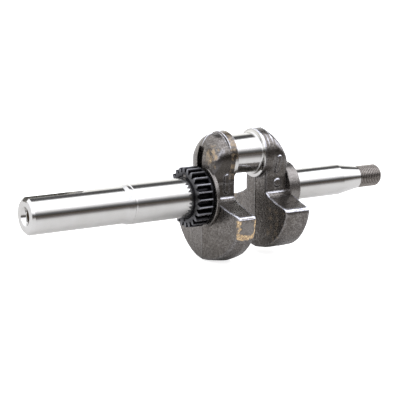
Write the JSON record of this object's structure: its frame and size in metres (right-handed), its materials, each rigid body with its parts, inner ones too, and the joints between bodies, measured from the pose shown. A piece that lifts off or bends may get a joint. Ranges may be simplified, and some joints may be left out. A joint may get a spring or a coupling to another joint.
{
  "type": "crankshaft",
  "caption": "Single-throw crankshaft with keyed output shaft, forged webs with counterweights, pressed-on timing gear, and a tapered flywheel end with a thread.",
  "frame": {"origin": "centre of the output-side main journal, on the main axis", "axes": "+X along the main axis from the output end to the flywheel end, +Z from the main axis to the crankpin"},
  "size_m": [0.2863, 0.0836, 0.0908],
  "materials": {
    "ground_steel": "fine ground",
    "turned_steel": "turned",
    "key_steel": "plain",
    "black_oxide_gear": "black oxide, oiled",
    "forging_skin": "as forged, shot-blasted",
    "thread_steel": "rolled thread, dark"
  },
  "bodies": {
    "root": {"output_shaft": "ground_steel", "seal_lead_in": "ground_steel", "pto_journal": "ground_steel", "gear_seat": "ground_steel", "gear_key": "key_steel", "timing_gear": "black_oxide_gear", "gear_side_boss": "forging_skin", "gear_side_web": "forging_skin", "gear_side_counterweight": "forging_skin", "gear_side_pin_collar": "turned_steel", "crankpin": "ground_steel", "flywheel_side_pin_collar": "turned_steel", "flywheel_side_web": "forging_skin", "flywheel_side_counterweight": "forging_skin", "flywheel_side_boss": "forging_skin", "flywheel_journal": "ground_steel", "flywheel_taper": "ground_steel", "threaded_end": "thread_steel"}
  },
  "joints": []
}
